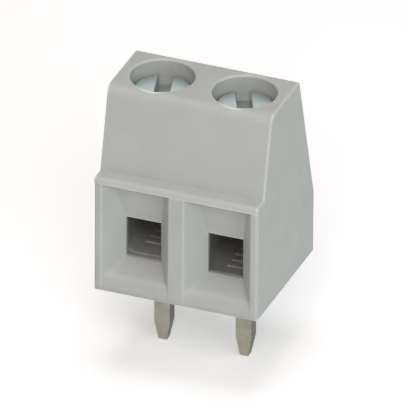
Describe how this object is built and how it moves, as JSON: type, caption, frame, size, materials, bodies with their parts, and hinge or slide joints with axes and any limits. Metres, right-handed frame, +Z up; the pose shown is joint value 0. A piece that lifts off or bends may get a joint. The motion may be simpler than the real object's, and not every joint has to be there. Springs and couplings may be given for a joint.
{
  "type": "pcb screw terminal",
  "caption": "Grey block that solders to a circuit board and clamps wires from the front with top screws and rising cages.",
  "frame": {"origin": "midway between the solder pins, on the face of the body that sits on the circuit board", "axes": "+X along the row of poles, +Y from the wire side to the back, +Z up from the circuit board"},
  "size_m": [0.0102, 0.0091, 0.0177],
  "materials": {
    "housing_plastic": "fine matt moulded polyamide",
    "contact_strip": "tin-plated copper alloy, satin",
    "cage_sheet": "zinc-plated folded steel sheet",
    "screw_steel": "blue zinc plating over turned steel"
  },
  "bodies": {
    "terminal": {"housing": "housing_plastic", "contact_1": "contact_strip", "contact_2": "contact_strip"},
    "screw_1": {"screw_1": "screw_steel"},
    "screw_2": {"screw_2": "screw_steel"},
    "cage_1": {"cage_1": "cage_sheet"},
    "cage_2": {"cage_2": "cage_sheet"}
  },
  "joints": [
    {"name": "screw_1_turn", "type": "hinge", "parent": "terminal", "child": "screw_1", "pos_m": [-0.00254, -0.0005, 0.0099], "axis": [0, 0, 1], "range_deg": [-1548, 360]},
    {"name": "screw_2_turn", "type": "hinge", "parent": "terminal", "child": "screw_2", "pos_m": [0.00254, -0.0005, 0.0099], "axis": [0, 0, 1], "range_deg": [-1908, 0]},
    {"name": "cage_1_rise", "type": "slide", "parent": "terminal", "child": "cage_1", "axis": [0, 0, 1], "range_m": [-0.0005, 0.00215]},
    {"name": "cage_2_rise", "type": "slide", "parent": "terminal", "child": "cage_2", "axis": [0, 0, 1], "range_m": [0, 0.00265]}
  ],
  "couplings": [
    {"joint": "screw_1_turn", "follows": "cage_1_rise", "rad_per_m": -12566},
    {"joint": "screw_2_turn", "follows": "cage_2_rise", "rad_per_m": -12566}
  ]
}
